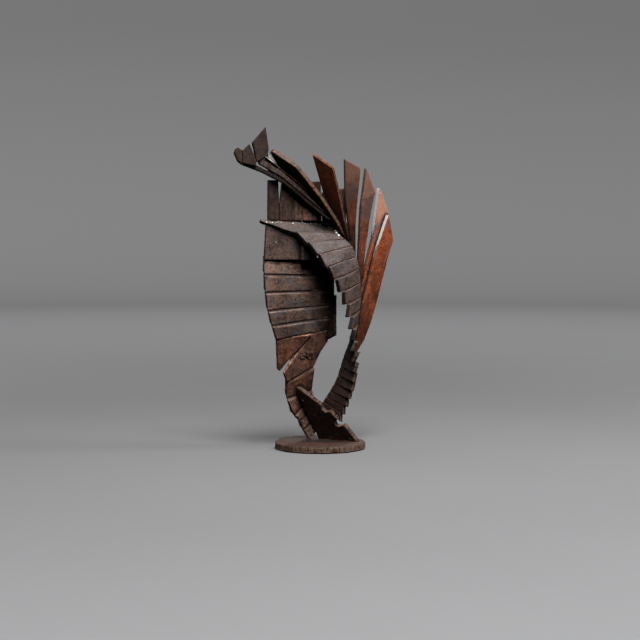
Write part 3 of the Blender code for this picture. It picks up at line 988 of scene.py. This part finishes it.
mill_scale = mask(scale_clouds, 0.46, 0.68) * given["Scale amount"]
colour = mix(mill_scale, colour, given["Mill scale"])
streaks = mask(speckle(stretched(place, 0.12, 1.0, 1.0), 3.2, 4.0), 0.60, 0.40)
colour = mix(streaks * given["Streaks"], colour, given["Deep rust"])
stains = mask(speckle(place, 3.4, 5.0, 0.62), 0.50, 0.66) * mask(speckle(place, 17.0), 0.36, 0.60)
colour = mix(stains * given["Stain amount"], colour, given["Stain"])
feed(result, {"Colour": colour, "Scale mask": mill_scale, "Mottle": mottle})
print("patina group with", len(patina.nodes), "nodes")

# %% [markdown]
# ## Effect 2: rubbed corners
# Hands, dust cloths and the grinder take the rust off the outward corners first. The stored
# nearness to a corner says where. It is broken up with noise, because an even bright line round
# every bar would look drawn on.

# %% Build the rubbed corner group
rubbed, given, result = node_group("rubbed_corners", {
    "Colour": COLOUR, "Bar place": VECTOR, "Corner": 0.0, "Bare colour": (150, 128, 116), "Amount": 0.6,
}, ("Colour", "Bare mask"))
breaks = speckle(given["Bar place"], 4.5, 4.0, 0.65)
bare = mask(given["Corner"] + (breaks - 0.5) * 1.6, 0.66, 1.05) * given["Amount"]
feed(result, {"Colour": mix(bare, given["Colour"], given["Bare colour"]), "Bare mask": bare})
print("rubbed corner group with", len(rubbed.nodes), "nodes")

# %% [markdown]
# ## Effect 3: dirt and rust in the joints
# Water sits longest where two bars meet, so the joints are dark with a thin orange halo. The
# stored nearness to the next bar gives both: dark where it is highest, and orange a little
# further out.

# %% Build the joint dirt group
joint_dirt, given, result = node_group("joint_dirt", {
    "Colour": COLOUR, "Bar place": VECTOR, "Joint": 0.0, "Dirt": (24, 16, 13), "Halo": (132, 78, 46),
    "Dirt amount": 0.8, "Dirt from": 0.70, "Halo amount": 0.25,
}, ("Colour",))
near = given["Joint"] + (speckle(given["Bar place"], 8.0, 4.0, 0.6) - 0.5) * 0.6
halo = mask(near, 0.20, 0.60) * given["Halo amount"]
dirt = mask(near, given["Dirt from"], given["Dirt from"] + 0.22) * given["Dirt amount"]
colour = mix(halo, given["Colour"], given["Halo"])
feed(result, {"Colour": mix(dirt, colour, given["Dirt"])})
print("joint dirt group with", len(joint_dirt.nodes), "nodes")

# %% [markdown]
# ## Effect 4: cut and ground faces, with painted glints and shade
# The long narrow faces were cut after the broad ones had been rolled, so they never had mill
# scale. They rust to a paler brown, in patches drawn out through the thickness. The ends were
# cut to length and are painted nearly black, partly for the burnt oxide of the cut and partly as
# painted shade. A few edges of the fan and the hand were ground; they are smoother and more
# metallic, and their near-white colour is a painted glint. The stored masks tell these faces apart.

# %% Build the cut face group
cut_steel, given, result = node_group("cut_steel", {
    "Colour": COLOUR, "Bar place": VECTOR, "Cut face": 0.0, "End face": 0.0, "Ground and glint": 0.0,
    "Cut colour": (150, 118, 102), "End colour": (30, 24, 21), "Ground colour": (240, 236, 232),
    "Cut amount": 0.6, "End amount": 0.8,
}, ("Colour", "Ground mask"))
place = given["Bar place"]
patches = mask(speckle(stretched(place, 1.0, 1.0, 0.25), 3.4, 4.0, 0.62), 0.36, 0.60)
scratches = speckle(stretched(place, 0.2, 1.0, 1.0), 2.4, 4.0)
# Ground steel: smoother and more metallic, with a near-white painted glint as its colour.
ground_and_glint = mask(given["Ground and glint"] + (scratches - 0.5) * 0.9, 0.25, 0.75)
colour = mix(given["Cut face"] * patches * given["Cut amount"], given["Colour"], given["Cut colour"])
# Ends: nearly black, partly burnt oxide and partly painted shade.
colour = mix(given["End face"] * given["End amount"], colour, given["End colour"])
feed(result, {"Colour": mix(ground_and_glint, colour, given["Ground colour"]), "Ground mask": ground_and_glint})
print("cut face group with", len(cut_steel.nodes), "nodes")

# %% [markdown]
# ## Effect 5: heat, painted shade and tone
# A welder's heat runs up a blade from its root. Near the root the colour is darker, further up
# there is a blue-grey band, and toward the tips it is paler. It could be painted blade by
# blade, but all follow the same rule: how far from the root a point is. Sheltered places get
# painted shade in the same dark colour, and each bar gets its own tone, which on some bars also
# paints light and shade.

# %% Build the heat tint group
heat_tint, given, result = node_group("heat_tint", {
    "Colour": COLOUR, "Bar place": VECTOR, "From root": 0.0, "Shelter": 0.0, "Bar tone and painted light": 1.0,
    "Darkening": (34, 22, 18), "Blue steel": (72, 72, 80), "Pale": (176, 142, 126),
    "Soot amount": 0.0, "Blue amount": 0.0, "Pale amount": 0.0, "Painted shade amount": 0.8,
}, ("Colour",))
drift = speckle(given["Bar place"], 24.0, 5.0, 0.6) - 0.5
along = given["From root"] + drift * 0.7
pale = mask(along, 0.45, 1.0) * given["Pale amount"]
blue = mask(along, 0.52, 0.66) * mask(along, 0.82, 0.68) * given["Blue amount"]
# Darker toward the root of a blade.
root_darkening = mask(along, 0.42, 0.08) * given["Soot amount"]
# Painted shade: sheltered places are darkened toward the dark colour, standing in for the shade there.
painted_shade = mask(given["Shelter"] + drift * 0.25, 0.10, 0.42) * given["Painted shade amount"]
colour = mix(pale, given["Colour"], given["Pale"])
colour = mix(blue, colour, given["Blue steel"])
colour = mix(root_darkening, colour, given["Darkening"])
colour = mix(painted_shade, colour, given["Darkening"])
# Each bar's tone scales the colour; on some bars it is painted light, on others painted shade.
feeds = {0: colour, "Scale": given["Bar tone and painted light"]}
feed(result, {"Colour": add(heat_tint, "ShaderNodeVectorMath", feeds, operation="SCALE")})
print("heat tint group with", len(heat_tint.nodes), "nodes")

# %% [markdown]
# ## Effect 6: the fine relief
# Under a fingertip the skin is like sandpaper, with small round pits. This is finer than the
# points of the mesh, so it is a height for a Bump node. Drag lines go on the cut faces only.
# They are noise drawn out through the thickness, which is how a torch leaves them.

# %% Build the relief group
relief, given, result = node_group("steel_relief", {
    "Bar place": VECTOR, "Cut face": 0.0, "Pits": 0.5, "Sand": 0.35, "Drag lines": 0.4,
}, ("Height",))
place = given["Bar place"]
feeds = {"Vector": place, "Scale": 1.0 / 2.6}
cells = add(relief, "ShaderNodeTexVoronoi", feeds, "Distance", feature="SMOOTH_F1")
pits = mask(cells, 0.42, 0.12) * mask(speckle(place, 9.0), 0.48, 0.62) * given["Pits"]
sand = speckle(place, 0.9, 4.0, 0.7) * given["Sand"]
drag = speckle(stretched(place, 1.0, 1.0, 0.05), 1.1, 2.0) * given["Cut face"] * given["Drag lines"]
feed(result, {"Height": sand + drag - pits})
print("relief group with", len(relief.nodes), "nodes")

# %% [markdown]
# ## The steel of each part
# Every part uses the same six effects with its own values. One function wires them up and adds
# the shader itself. Rust is dull and hardly metallic, mill scale is smoother, and a rubbed corner
# is smoother still, so the masks also drive the roughness and the metal value. The thin wax that
# such pieces get is a weak coat.

# %% Wire the effects into one kind of steel
SOCKETS = {
    "patina": (
        "Deep rust", "Rust", "Bloom", "Mill scale", "Cloud size", "Bloom amount", "Scale amount",
        "Stain amount", "Streaks",
    ),
    "heat": ("Painted shade amount", "Soot amount", "Blue amount", "Pale amount"),
    "cut": ("Cut amount", "End amount", "Cut colour"),
    "joint": ("Dirt amount", "Halo amount", "Dirt from"),
    "corner": ("Amount", "Bare colour"),
    "relief": ("Pits", "Sand", "Drag lines"),
}
DULL_METAL = 0.05
MOTTLE_ROUGHNESS = 0.35
BUMP = {"Strength": 0.55, "Distance": 0.25 * MM}
WAX_ROUGHNESS = 0.38


def rusted_steel(name, finish):
    """A material of all six effects. A finish lists values in the order of the sockets above."""
    material = bpy.data.materials.new(name)
    material.use_nodes = True
    tree = material.node_tree

    def stored(label, output="Fac"):
        return add(tree, "ShaderNodeAttribute", {}, output, attribute_name=label)

    place = stored("bar_mm", "Vector")

    def laid(group, effect, feeds):
        feeds = {"Bar place": place, **feeds}
        for socket, value in zip(SOCKETS[effect], finish[effect]):
            feeds[socket] = steel_colour(*value) if isinstance(value, tuple) else value
        return fields(add_node(tree, "ShaderNodeGroup", feeds, node_tree=group))

    skin = laid(patina, "patina", {})
    heated = laid(heat_tint, "heat", {
        "Colour": skin["Colour"], "From root": stored("from_root"), "Shelter": stored("shelter"),
        "Bar tone and painted light": stored("bar_tone_and_painted_light"),
    })
    trimmed = laid(cut_steel, "cut", {
        "Colour": heated["Colour"], "Cut face": stored("cut_face"), "End face": stored("bar_end"),
        "Ground and glint": stored("ground_and_glint"),
    })
    dirty = laid(joint_dirt, "joint", {"Colour": trimmed["Colour"], "Joint": stored("joint")})
    worn = laid(rubbed, "corner", {"Colour": dirty["Colour"], "Corner": stored("corner")})
    grain = laid(relief, "relief", {"Cut face": stored("cut_face")})
    smooth = skin["Scale mask"] + worn["Bare mask"] + trimmed["Ground mask"]
    sheen, dull, shiny, metal, wax = finish["shader"]

    def as_smooth(low, high):
        return add(tree, "ShaderNodeMapRange", {"Value": smooth, "To Min": low, "To Max": high})

    feed(tree.nodes["Principled BSDF"], {
        "Base Color": worn["Colour"], "Metallic": as_smooth(DULL_METAL, metal),
        "Roughness": as_smooth(dull, shiny) + (skin["Mottle"] - 0.5) * MOTTLE_ROUGHNESS,
        "Normal": add(tree, "ShaderNodeBump", {"Height": grain["Height"], **BUMP}),
        "Coat Weight": wax, "Coat Roughness": WAX_ROUGHNESS, "Specular IOR Level": sheen,
    })
    return material


print(f"{len(SOCKETS)} effects ready to be wired")

# %% [markdown]
# ## The finish of each part
# These are the values that give each part its tone, in the order of the sockets above. The last
# row is for the shader: sheen, roughness where dull and where smooth, metal and wax. The fan has
# the reddest and smoothest rust, the breast the most mill scale, and the foot is nearly black.
# The upper ribbon is greyer, partly as a painted sheen from the light above, and its lower steps are a dark
# brown, partly as painted shade.

# %% Choose the finishes
# In each heat row the first value is the amount of painted shade in sheltered places.
FINISHES = {
    "leg": {
        "patina": ((82, 53, 42), (162, 112, 90), (192, 128, 96), (114, 106, 107), 26.0, 0.5, 0.3, 0.75),
        "heat": (0.85,), "cut": (0.8, 0.8, (214, 174, 146)), "joint": (0.95, 0.2, 0.55),
        "corner": (0.45, (196, 164, 144)), "relief": (0.9, 0.5, 0.4),
        "shader": (0.35, 0.78, 0.46, 0.2, 0.04),
    },
    "breast": {
        "patina": ((74, 55, 47), (152, 122, 108), (182, 128, 100), (116, 117, 122), 26.0, 0.45, 0.8, 0.85),
        "heat": (0.92,), "cut": (0.55, 0.8, (176, 132, 108)), "joint": (0.95, 0.2, 0.46),
        "corner": (0.4, (190, 164, 148)), "relief": (0.9, 0.5, 0.4),
        "shader": (0.4, 0.76, 0.46, 0.25, 0.06),
    },
    # The upper ribbon: greyer, partly a painted sheen from the light above.
    "ribbon": {
        "patina": ((56, 41, 36), (114, 92, 83), (140, 106, 90), (118, 114, 116), 26.0, 0.4, 0.6, 0.8),
        "heat": (0.92,), "cut": (0.35, 0.9, (124, 98, 84)), "joint": (0.25, 0.1, 0.8),
        "corner": (0.35, (168, 150, 140)), "relief": (0.8, 0.45, 0.4),
        "shader": (0.45, 0.62, 0.4, 0.35, 0.14),
    },
    "panel": {
        "patina": ((38, 26, 21), (94, 66, 53), (134, 94, 74), (84, 79, 80), 24.0, 0.4, 0.4, 0.75, 0.55),
        "heat": (0.8,), "cut": (0.3, 0.3, (100, 76, 62)), "joint": (0.35, 0.05, 0.74),
        "corner": (0.22, (112, 92, 80)), "relief": (0.6, 0.4, 0.4), "shader": (0.3, 0.7, 0.46, 0.2, 0.06),
    },
    "fan": {
        "patina": ((100, 46, 22), (164, 84, 50), (190, 108, 70), (88, 84, 88), 34.0, 0.5, 0.25, 0.5, 0.45),
        "heat": (0.7, 0.7, 0.6, 0.55), "cut": (0.55, 0.2, (132, 96, 76)), "joint": (0.8, 0.05, 0.62),
        "corner": (0.4, (196, 160, 140)), "relief": (0.25, 0.25, 0.3),
        "shader": (0.25, 0.6, 0.36, 0.3, 0.05),
    },
    "hand": {
        "patina": ((35, 27, 25), (76, 63, 58), (108, 88, 80), (76, 73, 74), 12.0, 0.45, 0.45, 0.8),
        "heat": (0.9,), "cut": (0.3, 0.8, (92, 70, 58)), "joint": (0.9, 0.05, 0.55),
        "corner": (0.35, (124, 104, 92)), "relief": (0.6, 0.45, 0.5),
        "shader": (0.15, 0.7, 0.44, 0.25, 0.06),
    },
    "foot": {
        "patina": ((22, 14, 11), (58, 38, 30), (92, 58, 42), (40, 35, 34), 14.0, 0.6, 0.35, 0.9),
        "heat": (0.3,), "cut": (0.75, 0.0, (124, 98, 84)), "joint": (0.85, 0.15),
        "corner": (0.35, (120, 96, 84)), "relief": (0.7, 0.5, 0.9), "shader": (0.2, 0.78, 0.5, 0.2, 0.03),
    },
    "base": {
        "patina": ((30, 19, 15), (92, 63, 52), (138, 84, 54), (80, 69, 66), 11.0, 0.5, 0.35, 1.0),
        "heat": (0.85,), "cut": (0.75, 0.0, (142, 114, 92)), "joint": (0.85, 0.3),
        "corner": (0.35, (140, 116, 98)), "relief": (0.9, 0.6, 1.2), "shader": (0.3, 0.78, 0.52, 0.2, 0.03),
    },
    "tips": {
        "patina": ((30, 22, 19), (62, 45, 38), (84, 62, 52), (52, 48, 48), 12.0, 0.45, 0.3, 0.8),
        "heat": (0.7,), "cut": (0.45, 0.8, (92, 68, 56)), "joint": (0.9, 0.1, 0.55),
        "corner": (0.45, (124, 100, 86)), "relief": (0.6, 0.45, 0.5),
        "shader": (0.12, 0.74, 0.5, 0.12, 0.02),
    },
    # The lower steps: the ribbon's steel made darker, partly painted shade.
    "steps": {
        "patina": ((30, 21, 18), (64, 45, 38), (92, 62, 48), (54, 48, 47), 20.0, 0.45, 0.25, 0.6),
        "heat": (0.45,), "cut": (0.6, 0.0, (124, 98, 84)), "joint": (0.0, 0.1),
        "corner": (0.12, (120, 98, 86)), "relief": (0.8, 0.45, 0.4), "shader": (0.2, 0.7, 0.48, 0.15, 0.04),
    },
    "weld": {
        "patina": ((44, 31, 26), (98, 76, 64), (142, 98, 72), (124, 120, 120), 14.0, 0.35, 0.6, 0.5),
        "heat": (0.0,), "cut": (0.0, 0.0), "joint": (0.0, 0.0), "corner": (0.0,), "relief": (0.6, 0.6, 0.0),
        "shader": (0.5, 0.6, 0.34, 0.5, 0.05),
    },
}
SLOTS = dict.fromkeys(FINISHES, "dark_rusted_steel")
SLOTS.update(dict.fromkeys(("base", "breast", "leg", "ribbon", "steps"), "brown_rusted_steel"))
SLOTS["fan"] = "red_rusted_steel"
steels = {part: rusted_steel(part + "_steel", finish) for part, finish in FINISHES.items()}
for name, bar in bars.items():
    bar.data.materials.clear()
    bar.data.materials.append(steels[part_of[name]])
for weld in welds:
    weld.data.materials.clear()
    weld.data.materials.append(steels["weld"])
print(f"{len(steels)} kinds of steel")

# %% [markdown]
# ## Floor paint
# The floor is matt, with just enough unevenness that it doesn't look like plain light. It is
# painted darker near the figure, where the panels are strong, and paler toward the rim. So it
# looks like one even sweep.

# %% Paint the floor
NEAR_TONE = steel_colour(112, 112, 113)
FAR_TONE = steel_colour(196, 196, 198)
NEAR_RADIUS = 0.6
FAR_RADIUS = 3.6
BLOTCH_AMOUNT = 0.03
floor_paint = bpy.data.materials.new("pale_floor_paint")
floor_paint.use_nodes = True
paint = floor_paint.node_tree
spot = add(paint, "ShaderNodeTexCoord", {}, "Object")
level = stretched(spot, 1.0, 1.0, 0.0)
reach = add(paint, "ShaderNodeVectorMath", {0: level}, "Value", operation="LENGTH")
blotches = add(paint, "ShaderNodeTexNoise", {"Vector": spot, "Scale": 3.0, "Detail": 5.0})
toward_rim = mask(reach, NEAR_RADIUS, FAR_RADIUS) + blotches * BLOTCH_AMOUNT
feed(paint.nodes["Principled BSDF"], {
    "Base Color": mix(toward_rim, NEAR_TONE, FAR_TONE), "Roughness": 0.8,
})
studio_floor.data.materials.append(floor_paint)
print("floor painted")
